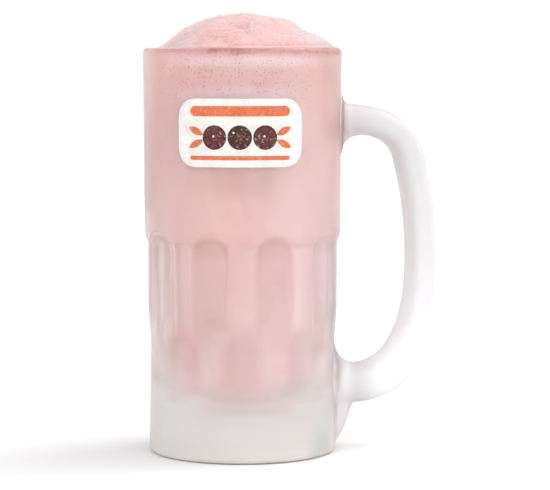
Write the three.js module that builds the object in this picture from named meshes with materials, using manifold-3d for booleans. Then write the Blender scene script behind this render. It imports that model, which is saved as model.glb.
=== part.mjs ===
// A mixed berry milkshake in its tall glass mug.
// Lengths are in millimetres and +Z is up. The origin is on the mug's axis, at the face it
// stands on, and the handle points along +X.
import * as THREE from 'three';
import { mergeVertices } from 'three/addons/utils/BufferGeometryUtils.js';
import Module from 'manifold-3d';

const { smoothstep, lerp, clamp, degToRad } = THREE.MathUtils;

// Mug, outside
const MUG_HEIGHT = 178;
const RIM_RADIUS = 43.6;
const RIM_ROUNDING = 2.1;
const BAND_FOOT_RADIUS = 43.2;
const BAND_FOOT_Z = 101;
const RIDGE_RADIUS = 41.7;
const RIDGE_TOP_Z = 93.5;
const RIDGE_FOOT_Z = 66;
const NECK_RADIUS = 40.5;
const NECK_Z = 46;
const BASE_RADIUS = 41.3;
const BASE_ROUNDING = 2.5;

// Flat panels with round ends, pressed in round the lower half, one of them behind the handle
const PANEL_COUNT = 9;
const PANEL_APOTHEM = 39.5;
const PANEL_HALF_WIDTH = 8.8;
const PANEL_TOP_Z = 97;
const PANEL_FOOT_Z = 46.5;
const PANEL_SHOULDER = 2.2;

// Mug, inside: a wide straight mouth that narrows down to a bowl over a thick base
const BORE_RADIUS = 39;
const BORE_FOOT_Z = 112;
const BOWL_FLOOR_Z = 22;
const BOWL_CURVE = [
  [0, BOWL_FLOOR_Z],
  [11.5, BOWL_FLOOR_Z + 1.8],
  [19.5, 29.5],
  [24, 43],
  [29.5, 57],
  [34.6, 76],
  [38, 95],
  [BORE_RADIUS, BORE_FOOT_Z],
];

// Handle: its middle line as [distance from the axis, height], from the upper root round to the
// lower one
const HANDLE_LINE = [
  [36, 147.6],
  [50, 146.6],
  [63.2, 143.8],
  [72.1, 136.8],
  [76.7, 123],
  [79.9, 104],
  [80.9, 84],
  [79.8, 66],
  [76.1, 49.3],
  [68.4, 36.2],
  [57.4, 29.8],
  [36, 28.4],
];
const HANDLE_HALF_DEPTH = 6.6;
const HANDLE_FOOT_HALF_DEPTH = 8.8;
const HANDLE_HALF_WIDTH = 10.5;
const HANDLE_SQUARENESS = 2.5;
const HANDLE_FILLET = 5;
const HANDLE_INNER_FILLET = 12;

// Tail that runs from the lower root down to the foot: [height, reach from the axis, half width]
const TAIL_AXIS_X = 37;
const TAIL_SECTIONS = [
  [31, 55, 8.6],
  [24, 53, 8.4],
  [21, 50.8, 8.2],
  [18, 49, 8],
  [12, 46.9, 7.4],
  [9, 46, 7],
  [2.5, 42, 5],
];

// Milkshake, which stands over the brim in an uneven mound
const FILL_GAP = 0.3;
const MOUND_TILT = degToRad(-10);
const CAP_HEIGHT = 15.4;
const CAP_FOOT_RADIUS = 35.8;
const FOLD_HEIGHT = 2.6;
const FOLD_INNER_RADIUS = 14;
const FOLD_CREST_RADIUS = 21.5;
const FOLD_DROP_RADIUS = 22.2;
const FOLD_FOOT_RADIUS = 25.8;
const FOLD_HALF_ANGLE = degToRad(62);
const LEDGE_INNER_RADIUS = 26;
const LEDGE_HIGH = 6.6;
const LEDGE_LOW = 1.2;
const LEDGE_POWER = 1.9;
const LEDGE_BLEND = 1.2;
const EDGE_POWER = 6;
const LAP_FULL = degToRad(90);
const LAP_LEAST = degToRad(35);
const RIPPLE_HEIGHT = 0.4;
const RIPPLE_PITCH = 2.4;
const RIPPLE_INNER_RADIUS = 14;

// Fineness
const TURN_STEPS = 72;
const RIM_STEPS = 3;
const FOOT_RING_STEP = 2;
const TOP_RING_STEP = 1.5;
const BOWL_STEPS = 14;
const SECTION_STEPS = 16;
const HANDLE_STEPS = 28;
const ROOT_CLEARANCES = [-8, -2, -1.2, -0.6, 0, 0.5, 1.2, 2.2, 3.8, 6, 9, 13];
const LAP_STEPS = 3;
const MOUND_RINGS = 12;

// Joins rings of points, all alike in number, into one closed surface. Each end is a fan from the
// ring to a tip, which is the ring's middle unless it is given. The rings turn anticlockwise seen
// from the last one.
function skin(rings, firstTip = middleOf(rings[0]), lastTip = middleOf(rings.at(-1))) {
  const steps = rings[0].length;
  const positions = [];
  const triangles = [];
  for (const ring of rings) {
    for (const point of ring) positions.push(point.x, point.y, point.z);
  }
  for (let ring = 0; ring + 1 < rings.length; ring++) {
    for (let step = 0; step < steps; step++) {
      const a = ring * steps + step;
      const b = ring * steps + (step + 1) % steps;
      triangles.push(a, b, b + steps, a, b + steps, a + steps);
    }
  }
  const closeEnd = (tip, ring, flip) => {
    const hub = positions.length / 3;
    positions.push(tip.x, tip.y, tip.z);
    for (let step = 0; step < steps; step++) {
      const a = ring * steps + step;
      const b = ring * steps + (step + 1) % steps;
      triangles.push(hub, flip ? b : a, flip ? a : b);
    }
  };
  closeEnd(firstTip, 0, true);
  closeEnd(lastTip, rings.length - 1, false);
  const geometry = new THREE.BufferGeometry();
  geometry.setAttribute('position', new THREE.Float32BufferAttribute(positions, 3));
  geometry.setIndex(triangles);
  return geometry;
}

function middleOf(ring) {
  const middle = new THREE.Vector3();
  for (const point of ring) middle.addScaledVector(point, 1 / ring.length);
  return middle;
}

// Solids for joining and cutting
const wasm = await Module();
wasm.setup();

function toSolid(geometry) {
  const bare = geometry.clone();
  bare.deleteAttribute('normal');
  bare.deleteAttribute('uv');
  const merged = mergeVertices(bare, 1e-4);
  return new wasm.Manifold(new wasm.Mesh({
    numProp: 3,
    vertProperties: new Float32Array(merged.getAttribute('position').array),
    triVerts: new Uint32Array(merged.getIndex().array),
  }));
}

function toGeometry(solid) {
  const mesh = solid.getMesh();
  const geometry = new THREE.BufferGeometry();
  geometry.setAttribute('position', new THREE.BufferAttribute(mesh.vertProperties, 3));
  geometry.setIndex(new THREE.BufferAttribute(mesh.triVerts, 1));
  return geometry;
}

// Outer radius of the mug at a height, between the panels
function wallRadius(z) {
  if (z < BASE_ROUNDING) {
    return BASE_RADIUS - BASE_ROUNDING + Math.sqrt(BASE_ROUNDING ** 2 - (BASE_ROUNDING - z) ** 2);
  }
  const rimStart = MUG_HEIGHT - RIM_ROUNDING;
  if (z > rimStart) {
    return RIM_RADIUS - RIM_ROUNDING + Math.sqrt(RIM_ROUNDING ** 2 - (z - rimStart) ** 2);
  }
  if (z < NECK_Z) return lerp(BASE_RADIUS, NECK_RADIUS, z / NECK_Z);
  if (z < RIDGE_FOOT_Z) return lerp(NECK_RADIUS, RIDGE_RADIUS, smoothstep(z, NECK_Z, RIDGE_FOOT_Z));
  if (z < RIDGE_TOP_Z) return RIDGE_RADIUS;
  if (z < BAND_FOOT_Z) {
    const down = (BAND_FOOT_Z - z) / (BAND_FOOT_Z - RIDGE_TOP_Z);
    return lerp(RIDGE_RADIUS, BAND_FOOT_RADIUS, Math.sqrt(1 - down ** 2));
  }
  return lerp(BAND_FOOT_RADIUS, RIM_RADIUS, (z - BAND_FOOT_Z) / (MUG_HEIGHT - BAND_FOOT_Z));
}

// Outer radius with a panel pressed in, at an angle from the panel's middle
function pressedRadius(offset, z) {
  const across = RIDGE_RADIUS * offset;
  const beyondTop = z - (PANEL_TOP_Z - PANEL_HALF_WIDTH);
  const beyondFoot = PANEL_FOOT_Z + PANEL_HALF_WIDTH - z;
  const fromSpine = Math.hypot(across, Math.max(0, beyondTop, beyondFoot));
  const shoulder = PANEL_SHOULDER / 2;
  const pressed = 1 - smoothstep(fromSpine, PANEL_HALF_WIDTH - shoulder, PANEL_HALF_WIDTH + shoulder);
  const wall = wallRadius(z);
  return lerp(wall, Math.min(wall, PANEL_APOTHEM / Math.cos(offset)), pressed);
}

// Heights of the rings: closer together round the base's edge, the panels' ends and the rim
function ringHeights() {
  const heights = [];
  for (let step = 0; step <= RIM_STEPS; step++) {
    heights.push(BASE_ROUNDING * (1 - Math.cos(step / RIM_STEPS * Math.PI / 2)));
  }
  heights.push(NECK_Z / 2);
  const footEnd = PANEL_FOOT_Z + PANEL_HALF_WIDTH;
  for (let z = NECK_Z; z < footEnd; z += FOOT_RING_STEP) heights.push(z);
  heights.push(footEnd, RIDGE_FOOT_Z);
  for (let z = RIDGE_TOP_Z - 4 * TOP_RING_STEP; z < BAND_FOOT_Z; z += TOP_RING_STEP) heights.push(z);
  heights.push(BAND_FOOT_Z, (BAND_FOOT_Z + MUG_HEIGHT) / 2);
  for (let step = 0; step <= RIM_STEPS; step++) {
    const rise = Math.sin(step / RIM_STEPS * Math.PI / 2);
    heights.push(MUG_HEIGHT - RIM_ROUNDING * (1 - rise));
  }
  return heights;
}

function mugOutside() {
  const pitch = 2 * Math.PI / PANEL_COUNT;
  const flatEnd = (PANEL_HALF_WIDTH - PANEL_SHOULDER / 2) / RIDGE_RADIUS;
  const edgeEnd = (PANEL_HALF_WIDTH + PANEL_SHOULDER / 2) / RIDGE_RADIUS;
  const offsets = [-edgeEnd, -flatEnd, -flatEnd / 2, 0, flatEnd / 2, flatEnd, edgeEnd, pitch / 2];
  const rings = ringHeights().map((z) => {
    const ring = [];
    for (let panel = 0; panel < PANEL_COUNT; panel++) {
      for (const offset of offsets) {
        const angle = panel * pitch + offset;
        const radius = pressedRadius(offset, z);
        ring.push(new THREE.Vector3(radius * Math.cos(angle), radius * Math.sin(angle), z));
      }
    }
    return ring;
  });
  return skin(rings);
}

// The bowl's outline as points from the floor up to the straight mouth, moved inwards by a gap
function bowlOutline(gap) {
  const curve = new THREE.SplineCurve(BOWL_CURVE.map(([r, z]) => new THREE.Vector2(r, z)));
  const outline = [];
  for (let step = 0; step <= BOWL_STEPS; step++) {
    const share = step / BOWL_STEPS;
    const point = curve.getPointAt(share);
    const along = curve.getTangentAt(share);
    outline.push(new THREE.Vector2(Math.max(0, point.x - gap * along.y), point.y + gap * along.x));
  }
  outline[0].x = 0;
  return outline;
}

function boreCutter() {
  const outline = bowlOutline(0);
  const roundingStart = MUG_HEIGHT - RIM_ROUNDING;
  for (let step = 0; step <= RIM_STEPS; step++) {
    const turn = step / RIM_STEPS * Math.PI / 2;
    const radius = BORE_RADIUS + RIM_ROUNDING * (1 - Math.cos(turn));
    outline.push(new THREE.Vector2(radius, roundingStart + RIM_ROUNDING * Math.sin(turn)));
  }
  const above = MUG_HEIGHT + RIM_ROUNDING;
  outline.push(new THREE.Vector2(BORE_RADIUS + RIM_ROUNDING, above));
  outline.push(new THREE.Vector2(0, above));
  return new THREE.LatheGeometry(outline, TURN_STEPS).rotateX(Math.PI / 2);
}

// Height of a round fillet at a distance from the wall that it leads into
function fillet(distance, radius) {
  const left = clamp(radius - distance, 0, radius);
  return radius - Math.sqrt(radius ** 2 - left ** 2);
}

// Points round a squared oval, each with coordinates from -1 to 1
function squaredOval(squareness) {
  const points = [];
  for (let step = 0; step < SECTION_STEPS; step++) {
    const turn = step / SECTION_STEPS * 2 * Math.PI;
    const across = Math.cos(turn);
    const along = Math.sin(turn);
    points.push([
      Math.sign(across) * Math.abs(across) ** (2 / squareness),
      Math.sign(along) * Math.abs(along) ** (2 / squareness),
    ]);
  }
  return points;
}

// One section of the handle, flared where it comes near the mug's wall
function handleSection(curve, share) {
  const middle = curve.getPointAt(share);
  const along = curve.getTangentAt(share);
  const outwards = new THREE.Vector3(-along.z, 0, along.x);
  const halfDepth = lerp(HANDLE_HALF_DEPTH, HANDLE_FOOT_HALF_DEPTH, smoothstep(share, 0.6, 0.85));
  return squaredOval(HANDLE_SQUARENESS).map(([depth, width]) => {
    const spoke = outwards.clone().multiplyScalar(depth * halfDepth);
    spoke.y = -width * HANDLE_HALF_WIDTH;
    const point = middle.clone().add(spoke);
    const distance = Math.hypot(point.x, point.y) - wallRadius(clamp(point.z, 0, MUG_HEIGHT));
    const radius = lerp(HANDLE_FILLET, HANDLE_INNER_FILLET, clamp(-depth, 0, 1) ** 3);
    return point.addScaledVector(spoke.normalize(), fillet(distance, radius));
  });
}

// Places of the sections along the handle: closer together where it flares into the wall
function handleShares(curve) {
  const length = curve.getLength();
  const rootShares = (wall) => ROOT_CLEARANCES.map((clearance) => (
    Math.max(0, wall + clearance - HANDLE_LINE[0][0]) / length
  ));
  const upper = rootShares(BAND_FOOT_RADIUS);
  const lower = rootShares(NECK_RADIUS).map((share) => 1 - share).reverse();
  const between = [];
  for (let step = 1; step < HANDLE_STEPS; step++) {
    between.push(lerp(upper.at(-1), lower[0], step / HANDLE_STEPS));
  }
  return [...upper, ...between, ...lower];
}

function handleGeometry() {
  const curve = new THREE.CatmullRomCurve3(HANDLE_LINE.map(([r, z]) => new THREE.Vector3(r, 0, z)));
  return skin(handleShares(curve).map((share) => handleSection(curve, share)));
}

function tailGeometry() {
  const rings = TAIL_SECTIONS.map(([z, reach, halfWidth]) => (
    squaredOval(HANDLE_SQUARENESS).map(([depth, width]) => (
      new THREE.Vector3(TAIL_AXIS_X + depth * (reach - TAIL_AXIS_X), width * halfWidth, z)
    ))
  ));
  return skin(rings.reverse());
}

function mugGeometry() {
  const joined = toSolid(mugOutside()).add(toSolid(handleGeometry())).add(toSolid(tailGeometry()));
  return toGeometry(joined.subtract(toSolid(boreCutter())));
}

// How far a direction faces the side where the milkshake spills highest, from 0 to 1
function spillSide(angle) {
  return smoothstep((1 + Math.cos(angle - MOUND_TILT)) / 2, 0, 1);
}

// The edge of the mound: it laps over the lip's rounding on one side and stays inside on the other
function lapPoint(angle, share) {
  const turn = share * lerp(LAP_LEAST, LAP_FULL, spillSide(angle));
  const reach = RIM_ROUNDING + FILL_GAP;
  return {
    radius: BORE_RADIUS + RIM_ROUNDING - reach * Math.cos(turn),
    z: MUG_HEIGHT - RIM_ROUNDING + reach * Math.sin(turn),
  };
}

// Height of the mound over the rim: a round cap, a fold on the spilling side and a ledge below it
function moundHeight(radius, angle, edge) {
  const ballRadius = (CAP_FOOT_RADIUS ** 2 + CAP_HEIGHT ** 2) / (2 * CAP_HEIGHT);
  const cap = Math.sqrt(ballRadius ** 2 - Math.min(radius, ballRadius) ** 2) - ballRadius + CAP_HEIGHT;
  const turned = Math.abs(Math.atan2(Math.sin(angle - MOUND_TILT), Math.cos(angle - MOUND_TILT)));
  const fold = FOLD_HEIGHT
    * smoothstep(radius, FOLD_INNER_RADIUS, FOLD_CREST_RADIUS)
    * (1 - smoothstep(radius, FOLD_DROP_RADIUS, FOLD_FOOT_RADIUS))
    * (1 - smoothstep(turned, FOLD_HALF_ANGLE / 2, FOLD_HALF_ANGLE));
  const outwards = clamp((radius - LEDGE_INNER_RADIUS) / (edge.radius - LEDGE_INNER_RADIUS), 0, 1);
  const ledge = edge.z - MUG_HEIGHT
    + lerp(LEDGE_LOW, LEDGE_HIGH, spillSide(angle)) * (1 - outwards ** LEDGE_POWER);
  const high = cap + fold;
  const rounded = (high + ledge + Math.sqrt((high - ledge) ** 2 + LEDGE_BLEND ** 2)) / 2;
  const ripple = RIPPLE_HEIGHT * (1 - outwards) * smoothstep(radius, 0, RIPPLE_INNER_RADIUS)
    * Math.sin(radius / RIPPLE_PITCH + 2 * Math.sin(2 * angle));
  return lerp(rounded + ripple, edge.z - MUG_HEIGHT, outwards ** EDGE_POWER);
}

function milkshakeGeometry() {
  const angles = [];
  for (let step = 0; step < TURN_STEPS; step++) angles.push(step / TURN_STEPS * 2 * Math.PI);
  const place = (radius, angle, z) => (
    new THREE.Vector3(radius * Math.cos(angle), radius * Math.sin(angle), z)
  );
  const outline = bowlOutline(FILL_GAP);
  const rings = outline.slice(1).map((point) => angles.map((angle) => place(point.x, angle, point.y)));
  for (let step = 0; step <= LAP_STEPS; step++) {
    rings.push(angles.map((angle) => {
      const lap = lapPoint(angle, step / LAP_STEPS);
      return place(lap.radius, angle, lap.z);
    }));
  }
  for (let ring = MOUND_RINGS - 1; ring > 0; ring--) {
    rings.push(angles.map((angle) => {
      const edge = lapPoint(angle, 1);
      const radius = edge.radius * ring / MOUND_RINGS;
      return place(radius, angle, MUG_HEIGHT + moundHeight(radius, angle, edge));
    }));
  }
  const summit = MUG_HEIGHT + moundHeight(0, 0, lapPoint(0, 1));
  return skin(rings, place(0, 0, outline[0].y), place(0, 0, summit));
}

// Finishes
const frostedGlass = new THREE.MeshStandardMaterial({
  color: 0xe9e4e4,
  roughness: 0.45,
  metalness: 0,
  transparent: true,
  opacity: 0.6,
});
const berryShake = new THREE.MeshStandardMaterial({ color: 0xf0c2bf, roughness: 0.6, metalness: 0 });

function piece(name, geometry, material) {
  const mesh = new THREE.Mesh(geometry, material);
  mesh.name = name;
  return mesh;
}

const drink = new THREE.Group();
drink.add(piece('mug', mugGeometry(), frostedGlass));
drink.add(piece('milkshake', milkshakeGeometry(), berryShake));

export default drink;
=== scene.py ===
import math
from types import SimpleNamespace

import bmesh
import bpy
import numpy as np
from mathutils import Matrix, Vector, noise


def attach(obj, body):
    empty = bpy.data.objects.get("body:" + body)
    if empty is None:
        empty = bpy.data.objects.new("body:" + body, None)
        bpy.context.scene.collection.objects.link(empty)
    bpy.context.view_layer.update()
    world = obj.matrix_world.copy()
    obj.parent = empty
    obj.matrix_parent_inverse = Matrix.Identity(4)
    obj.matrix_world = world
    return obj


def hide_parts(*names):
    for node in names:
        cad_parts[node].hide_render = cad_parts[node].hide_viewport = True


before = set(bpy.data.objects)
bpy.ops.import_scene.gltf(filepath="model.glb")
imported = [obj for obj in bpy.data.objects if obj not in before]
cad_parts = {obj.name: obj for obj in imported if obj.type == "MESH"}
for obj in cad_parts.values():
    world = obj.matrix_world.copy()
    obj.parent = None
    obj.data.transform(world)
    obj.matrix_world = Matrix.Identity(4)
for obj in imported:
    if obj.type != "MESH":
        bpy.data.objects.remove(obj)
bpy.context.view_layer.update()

MM = 0.001

# Mug, outside
MUG_HEIGHT = 178
RIM_RADIUS = 43.6
RIM_ROUNDING = 2.1
BAND_FOOT_RADIUS = 43.2
BAND_FOOT_Z = 101
RIDGE_RADIUS = 41.7
RIDGE_TOP_Z = 93.5
RIDGE_FOOT_Z = 66
NECK_RADIUS = 40.5
NECK_Z = 46
BASE_RADIUS = 41.3
BASE_ROUNDING = 2.5

# Flat panels with round ends, pressed in round the lower half
PANEL_COUNT = 9
PANEL_APOTHEM = 39.5
PANEL_HALF_WIDTH = 8.8
PANEL_TOP_Z = 97
PANEL_FOOT_Z = 46.5
PANEL_FADE = 15
PANEL_SHOULDER = 4.2

# How finely the mug is drawn: steps round the edges of its foot and rim, millimetres up its wall,
# and then the sides of its bowl, millimetres up that and steps round the mouth's edge
FOOT_STEPS, RIM_STEPS = 8, 10
BASE_STEP, PANEL_STEP, BAND_STEP = 2, 0.8, 3
BORE_SIDES, BORE_STEP, MOUTH_STEPS = 180, 2, 12

# Mug, inside, as [radius, height] up from the middle of the floor
BORE_RADIUS = 39
BOWL_FLOOR_Z = 22
BOWL_CURVE = [
    [0, BOWL_FLOOR_Z],
    [11.5, BOWL_FLOOR_Z + 1.8],
    [19.5, 29.5],
    [24, 43],
    [29.5, 57],
    [34.6, 76],
    [38, 95],
    [BORE_RADIUS, 112],
]

# Handle: its middle line as [distance from the axis, height], from the upper root to the lower.
# It swells over a part of its length, its wide fillet keeps to its inner side, and its roots are
# drawn finer than the arm between them
HANDLE_LINE = [
    [36, 147.6],
    [50, 146.6],
    [63.2, 143.8],
    [72.1, 136.8],
    [76.7, 123],
    [79.9, 104],
    [80.9, 84],
    [79.8, 66],
    [76.1, 49.3],
    [68.4, 36.2],
    [57.4, 29.8],
    [36, 28.4],
]
HANDLE_HALF_DEPTH = 6.6
HANDLE_FOOT_HALF_DEPTH = 8.8
HANDLE_HALF_WIDTH = 10.5
HANDLE_SQUARENESS = 2.5
HANDLE_FILLET = 5
HANDLE_INNER_FILLET = 12
FILLET_FOCUS = 3
HANDLE_SWELL = (0.6, 0.85)
HANDLE_SIDES = 56
ROOT_REACH, ROOT_STEP = 16, 0.6
ARM_STEPS = 90

# Tail below the lower root: [height, reach from the axis, half width]
TAIL_AXIS_X = 37
TAIL_SECTIONS = [
    [31, 55, 8.6],
    [24, 53, 8.4],
    [21, 50.8, 8.2],
    [18, 49, 8],
    [12, 46.9, 7.4],
    [9, 46, 7],
    [2.5, 42, 5],
]

# Milkshake, which fills the glass and stands over the brim in an uneven mound
WALL_REACH = 0.25
MOUND_TILT = math.radians(-10)
CAP_HEIGHT = 14.8
CAP_FOOT_RADIUS = 35.8
FOLD_HEIGHT = 1.2
FOLD_INNER_RADIUS = 14
FOLD_CREST_RADIUS = 21.5
FOLD_DROP_RADIUS = 22.2
FOLD_FOOT_RADIUS = 25.8
FOLD_HALF_ANGLE = math.radians(62)
LEDGE_INNER_RADIUS = 26
LEDGE_HIGH = 6.6
LEDGE_LOW = 1.2
LEDGE_POWER = 1.9
LEDGE_BLEND = 1.2
EDGE_POWER = 6
EDGE_LIFT = 0.3
LAP_FULL = math.radians(90)
LAP_LEAST = math.radians(35)
SHAKE_SIDES, SHAKE_STEP, LAP_STEPS, MOUND_RINGS = 540, 2.5, 6, 110

# Relief of the froth: slow waves, lumps, wrinkles and burst bubbles, calm near the glass. Which
# bubbles are open is shuffled by their place and goes by a limit
FROTH_SHIFT = Vector((126, 62, 100))
FROTH_SEED = 7
WAVE_PITCH, WAVE_HEIGHT = 9.0, 0.7
LUMP_PITCH, LUMP_HEIGHT = 3.6, 0.45
WRINKLE_PITCH, WRINKLE_HEIGHT = 1.6, 0.24
PIT_PITCH, PIT_DEPTH, PIT_SIZE = 1.7, 0.4, 0.32
PIT_SHUFFLE, PIT_LIMIT = 7.3, 0.2
CALM_FROM = 0.93

# Frost on the glass: how much more it hides on the ridges (a painted highlight, strongest on the
# right-hand ridge), on the panels' shoulders, under the panels (painted pale lobes of light), in
# patches, down the flanks, on the left panel's shoulder (a painted highlight), at the outer edges
# (painted sheen), at the foot of the panels (painted light), over the badge (painted light against
# its shadow), on the right panel (painted light) and where the pink ends (painted light), and as a
# veil on the lower band and on either side, the left one painted light
RIDGE_HIGHLIGHT_FROST = 0.2
SHOULDER_FROST = 0.05
LOBE_LIGHT_FROST = 0.2
PATCH_FROST = 0.08
STREAK_FROST = 0.3
SHOULDER_HIGHLIGHT_FROST = 0.3
EDGE_SHEEN_FROST = 0.38
CORNER_LIGHT_FROST = 0.2
HALO_LIGHT_FROST = 0.25
PANEL_LIGHT_FROST = 0.2
LOW_LIGHT_FROST = 0.3
LOW_VEIL = 0.11
HANDLE_VEIL = 0.42
LEFT_LIGHT_VEIL = 0.3
SPECK_PITCH = 1.1

# The glass counts as thick low down, and on the handle, which starts beyond a skirt round the wall.
# Then come how clear it is at most and at least, and how rough its frost is
THICK_Z = (38, 18)
THICK_BEYOND = (0, 6)
HANDLE_Z = (40, 140)
SKIRT_Z, SKIRT_RADIUS = (60, 100), (41.6, 44)
CLEAREST, HAZIEST = 0.94, 0.5
FROST_ROUGHNESS, THICK_ROUGHNESS = (0.3, 0.36), 0.2

# Badge printed on the band, with its middle a little left of the front
BADGE_ANGLE = math.radians(-101.5)
BADGE_Z = 142
BADGE_HALF_WIDTH, BADGE_HALF_HEIGHT, BADGE_CORNER = 28, 14.5, 8
INK_SINK = 0.05
PLATE_LIFT, INK_LIFT, DRUPE_LIFT, GLEAM_LIFT = 0.08, 0.13, 0.17, 0.21
PRINT_STEP = 1.5
BAR_HALF_LENGTH = 22
TOP_BAR_Y, TOP_BAR_HALF_HEIGHT = 9.2, 2.2
FOOT_BAR_Y, FOOT_BAR_HALF_HEIGHT = -10.6, 0.9
BERRY_Y, BERRY_RADIUS, BERRY_PITCH = -1.9, 5.2, 10.9
DRUPE_RADIUS, DRUPE_RING_RADIUS = 1.5, 3.3
CROWN_RADIUS, CROWN_INNER_RADIUS = 2.6, 1.2
GLEAM_RADIUS = 0.45
GLEAM_SHIFT, MIDDLE_GLEAM_SHIFT = (-0.4, 0.5), (-2.6, 2)
LEAF_LENGTH, LEAF_WIDTH, LEAF_SPREAD, LEAF_TUCK = 7.5, 3, 27, 0.2

# Inks, as colours on screen, the colour where they are worn, and how dark they get in places
WHITE_INK = (226, 222, 218)
ORANGE_INK = (209, 107, 70)
MAROON_INK = (66, 34, 30)
BERRY_INK = (98, 46, 46)
WORN_INK = (214, 196, 190)
INK_SHADE = 0.92

# Camera and studio
CAMERA_AZIMUTH = math.radians(-10)
CAMERA_DISTANCE = 1040
CAMERA_HEIGHT = 178
CAMERA_PITCH = math.radians(4.78)
CAMERA_ASIDE = 14.35
SENSOR_WIDTH = 36
PICTURE_WIDTH = 550
FOCAL_PIXELS = 2361.8
FLOOR_SIZE, FLOOR_Z = 60000, -0.1
FLOOR_SHADE = 0.79
BACKDROP_STRENGTH = 1.05
ROOM_STRENGTH = 0.92
# Each soft light is an azimuth, an elevation, a half width in degrees and a strength
SOFT_LIGHTS = [
    [5, 5, 70, 1.22],
    [110, 22, 28, 1.6],
    [95, 58, 26, 3.9],
    [-80, 15, 40, 0.35],
]


def lerp(start, end, share):
    return start + (end - start) * share


def smoothstep(value, low, high):
    share = np.clip((value - low) / (high - low), 0, 1)
    return share * share * (3 - 2 * share)


# Outlines

def spline(knots, evenly=False, steps=40):
    """Dense points on a Catmull-Rom curve through the knots, slack at its ends if evenly timed."""
    knots = np.asarray(knots, float)
    if evenly:
        before, after = knots[0], knots[-1]
    else:
        before, after = 2 * knots[0] - knots[1], 2 * knots[-1] - knots[-2]
    padded = np.vstack([before, knots, after])
    spans = np.linalg.norm(np.diff(padded, axis=0), axis=1)
    times = np.ones(len(spans)) if evenly else np.sqrt(spans)
    share = np.linspace(0, 1, steps, endpoint=False)[:, None]
    points = []
    for k in range(1, len(padded) - 2):
        a, b, c, d = padded[k - 1:k + 3]
        t0, t1, t2 = times[k - 1:k + 2]
        leave = ((b - a) / t0 - (c - a) / (t0 + t1) + (c - b) / t1) * t1
        arrive = ((c - b) / t1 - (d - b) / (t1 + t2) + (d - c) / t2) * t1
        square = -3 * b + 3 * c - 2 * leave - arrive
        cube = 2 * b - 2 * c + leave + arrive
        points.append(b + share * leave + share ** 2 * square + share ** 3 * cube)
    return np.vstack(points + [knots[-1:]])


def line_lengths(line):
    steps = np.linalg.norm(np.diff(line, axis=0), axis=1)
    return np.concatenate([[0], np.cumsum(steps)])


def walk(line, lengths):
    """Points and directions at these lengths along a dense line."""
    at = line_lengths(line)
    slope = np.gradient(line, at, axis=0)
    points = np.column_stack([np.interp(lengths, at, column) for column in line.T])
    along = np.column_stack([np.interp(lengths, at, column) for column in slope.T])
    return points, along / np.linalg.norm(along, axis=1)[:, None]


def wall_radius(z):
    """Outer radius of the mug at a height, between the panels."""
    z = np.asarray(z, float)
    rim_start = MUG_HEIGHT - RIM_ROUNDING
    foot_rise = np.clip(BASE_ROUNDING - z, 0, BASE_ROUNDING)
    rim_rise = np.clip(z - rim_start, 0, RIM_ROUNDING)
    down = np.clip((BAND_FOOT_Z - z) / (BAND_FOOT_Z - RIDGE_TOP_Z), 0, 1)
    ends = [BASE_ROUNDING, NECK_Z, RIDGE_FOOT_Z, RIDGE_TOP_Z, BAND_FOOT_Z, rim_start]
    return np.select(
        [z < end for end in ends],
        [
            BASE_RADIUS - BASE_ROUNDING + np.sqrt(BASE_ROUNDING ** 2 - foot_rise ** 2),
            lerp(BASE_RADIUS, NECK_RADIUS, z / NECK_Z),
            lerp(NECK_RADIUS, RIDGE_RADIUS, smoothstep(z, NECK_Z, RIDGE_FOOT_Z)),
            RIDGE_RADIUS,
            lerp(RIDGE_RADIUS, BAND_FOOT_RADIUS, np.sqrt(1 - down ** 2)),
            lerp(BAND_FOOT_RADIUS, RIM_RADIUS, (z - BAND_FOOT_Z) / (MUG_HEIGHT - BAND_FOOT_Z)),
        ],
        RIM_RADIUS - RIM_ROUNDING + np.sqrt(RIM_ROUNDING ** 2 - rim_rise ** 2),
    )


def pressed_radius(offset, z):
    """Outer radius with a panel pressed in, at an angle from the panel's middle."""
    beyond_top = z - (PANEL_TOP_Z - PANEL_HALF_WIDTH)
    beyond_foot = PANEL_FOOT_Z + PANEL_HALF_WIDTH - z
    beyond = np.maximum(0, np.maximum(beyond_top, beyond_foot))
    from_spine = np.hypot(RIDGE_RADIUS * offset, beyond)
    shoulder = PANEL_SHOULDER / 2
    pressed = 1 - smoothstep(from_spine, PANEL_HALF_WIDTH - shoulder, PANEL_HALF_WIDTH + shoulder)
    pressed = pressed * smoothstep(z, PANEL_FOOT_Z, PANEL_FOOT_Z + PANEL_FADE)
    wall = wall_radius(z)
    return lerp(wall, np.minimum(wall, PANEL_APOTHEM / np.cos(offset)), pressed)


def bowl_outline(gap, spacing):
    """[radius, height] points up the bowl from the floor to the straight mouth, moved inwards."""
    line = spline(BOWL_CURVE, evenly=True)
    count = round(line_lengths(line)[-1] / spacing)
    points, along = walk(line, np.linspace(0, line_lengths(line)[-1], count + 1))
    points[:, 0] -= gap * along[:, 1]
    points[:, 1] += gap * along[:, 0]
    points[0, 0] = 0
    return points


# Meshes

def turned(radius, angle, z):
    """Points from cylindrical coordinates in millimetres."""
    radius, angle, z = np.broadcast_arrays(radius, angle, z)
    return np.stack([radius * np.cos(angle), radius * np.sin(angle), z], axis=-1)


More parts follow.
